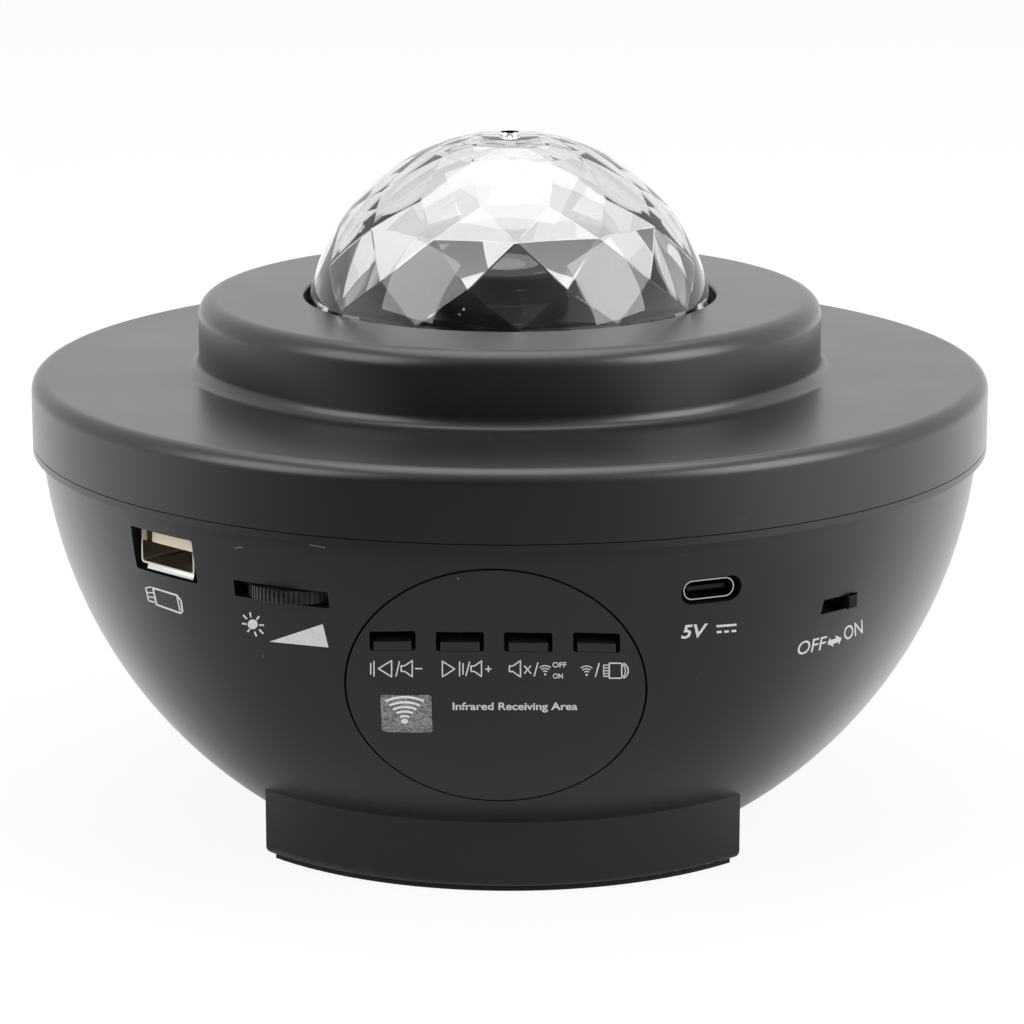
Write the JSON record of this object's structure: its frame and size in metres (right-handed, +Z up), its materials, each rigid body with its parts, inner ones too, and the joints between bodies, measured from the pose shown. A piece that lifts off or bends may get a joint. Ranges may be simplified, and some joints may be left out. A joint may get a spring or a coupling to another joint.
{
  "type": "star night light projector",
  "caption": "Bowl-shaped table projector lamp with a stepped lid, turning clear dome, round front key panel, ports, thumbwheel, slide switch and flat-sided foot.",
  "frame": {"origin": "On the resting surface under the foot pad, on the vertical axis of the bowl, lid and dome.", "axes": "+Z up; the front with the key panel faces -Y; +X is to the right when facing the key panel from the front."},
  "size_m": [0.168, 0.168, 0.12],
  "materials": {
    "housing": "fine satin grain",
    "foot_rubber": "matt",
    "screw_steel": "zinc plated",
    "clear_dome": "clear, polished",
    "white_gear": "moulded acetal",
    "inner_black": "matt",
    "motor_steel": "plated",
    "sink_aluminium": "as cast",
    "white_board": "white solder mask",
    "led_yellow": "phosphor",
    "clear_lens": "clear",
    "laser_brass": "turned",
    "grating_film": "clear film",
    "green_board": "solder mask",
    "pot_black": "satin",
    "wheel_black": "satin",
    "connector_metal": "nickel plated",
    "tongue_beige": "satin",
    "tongue_black": "satin",
    "switch_metal": "plated",
    "lever_black": "satin",
    "shield_metal": "tinned",
    "chip_black": "moulded",
    "capacitor_sleeve": "sleeved can",
    "header_white": "moulded",
    "panel_black": "fine satin grain",
    "window_grey": "speckled grey print",
    "tact_black": "moulded",
    "receiver_black": "dark epoxy",
    "magnet_ferrite": "ferrite and plated yoke",
    "cone_paper": "coated paper",
    "surround_rubber": "satin"
  },
  "bodies": {
    "base": {"lower_housing": "housing", "top_cover": "housing", "bottom_plate": "housing", "foot_pad": "foot_rubber", "bottom_screws": "screw_steel", "rotor_retainer": "white_gear", "chassis": "inner_black", "chassis_screws": "screw_steel", "gear_motor": "motor_steel", "motor_screws": "screw_steel", "heat_sink": "sink_aluminium", "led_board": "white_board", "led_chips": "led_yellow", "led_lenses": "clear_lens", "lamp_cover": "inner_black", "laser_barrel": "laser_brass", "laser_lens": "clear_lens", "grating_holder": "inner_black", "grating_disc": "grating_film", "main_board": "green_board", "board_screws": "screw_steel", "wheel_pot": "pot_black", "usb_a_shell": "connector_metal", "usb_a_tongue": "tongue_beige", "usb_c_shell": "connector_metal", "usb_c_tongue": "tongue_black", "switch_body": "switch_metal", "radio_module": "shield_metal", "board_chips": "chip_black", "capacitors": "capacitor_sleeve", "wire_headers": "header_white", "control_panel": "panel_black", "sensor_window": "window_grey", "key_board": "green_board", "key_board_screws": "screw_steel", "tact_bodies": "chip_black", "infrared_receiver": "receiver_black", "speaker_frame": "motor_steel", "speaker_magnet": "magnet_ferrite", "speaker_cone": "cone_paper", "speaker_cap": "cone_paper", "speaker_surround": "surround_rubber", "speaker_screws": "screw_steel"},
    "dome_turntable": {"dome": "clear_dome", "dome_rotor": "white_gear"},
    "drive_pinion": {"motor_pinion": "white_gear"},
    "wheel": {"brightness_wheel": "wheel_black"},
    "power_lever": {"switch_lever": "lever_black"},
    "key_1_body": {"key_1": "panel_black"},
    "plunger_1_body": {"tact_plunger_1": "tact_black"},
    "key_2_body": {"key_2": "panel_black"},
    "plunger_2_body": {"tact_plunger_2": "tact_black"},
    "key_3_body": {"key_3": "panel_black"},
    "plunger_3_body": {"tact_plunger_3": "tact_black"},
    "key_4_body": {"key_4": "panel_black"},
    "plunger_4_body": {"tact_plunger_4": "tact_black"}
  },
  "joints": [
    {"name": "dome_spin", "type": "hinge", "parent": "base", "child": "dome_turntable", "pos_m": [0, 0, 0.0736], "axis": [0, 0, 1], "continuous": true},
    {"name": "pinion_spin", "type": "hinge", "parent": "base", "child": "drive_pinion", "pos_m": [0, 0.045, 0.0736], "axis": [0, 0, 1], "continuous": true},
    {"name": "brightness_turn", "type": "hinge", "parent": "base", "child": "wheel", "pos_m": [-0.03169, -0.06704, 0.0557], "axis": [0, 0, 1], "range_deg": [-135, 135]},
    {"name": "power_slide", "type": "slide", "parent": "base", "child": "power_lever", "axis": [0.7145, 0.6997, 0], "range_m": [-0.0046, 0]},
    {"name": "key_1_press", "type": "hinge", "parent": "base", "child": "key_1_body", "pos_m": [-0.01601, -0.07589, 0.04807], "axis": [-0.9694, 0.2309, -0.0832], "range_deg": [0, 8]},
    {"name": "plunger_1_travel", "type": "slide", "parent": "base", "child": "plunger_1_body", "axis": [0, 0.915, 0.4035], "range_m": [0, 0.00034], "stiffness_N_per_m": 10},
    {"name": "key_2_press", "type": "hinge", "parent": "base", "child": "key_2_body", "pos_m": [-0.00536, -0.07751, 0.04851], "axis": [-0.9966, 0.0773, -0.0277], "range_deg": [0, 8]},
    {"name": "plunger_2_travel", "type": "slide", "parent": "base", "child": "plunger_2_body", "axis": [0, 0.915, 0.4035], "range_m": [0, 0.00034], "stiffness_N_per_m": 10},
    {"name": "key_3_press", "type": "hinge", "parent": "base", "child": "key_3_body", "pos_m": [0.00536, -0.07751, 0.04851], "axis": [-0.9966, -0.0773, 0.0277], "range_deg": [0, 8]},
    {"name": "plunger_3_travel", "type": "slide", "parent": "base", "child": "plunger_3_body", "axis": [0, 0.915, 0.4035], "range_m": [0, 0.00034], "stiffness_N_per_m": 10},
    {"name": "key_4_press", "type": "hinge", "parent": "base", "child": "key_4_body", "pos_m": [0.01601, -0.07589, 0.04807], "axis": [-0.9694, -0.2309, 0.0832], "range_deg": [0, 8]},
    {"name": "plunger_4_travel", "type": "slide", "parent": "base", "child": "plunger_4_body", "axis": [0, 0.915, 0.4035], "range_m": [0, 0.00034], "stiffness_N_per_m": 10}
  ],
  "couplings": [
    {"joint": "pinion_spin", "follows": "dome_spin", "ratio": -6.5},
    {"joint": "key_1_press", "follows": "plunger_1_travel", "rad_per_m": 400},
    {"joint": "key_2_press", "follows": "plunger_2_travel", "rad_per_m": 400},
    {"joint": "key_3_press", "follows": "plunger_3_travel", "rad_per_m": 400},
    {"joint": "key_4_press", "follows": "plunger_4_travel", "rad_per_m": 400}
  ]
}
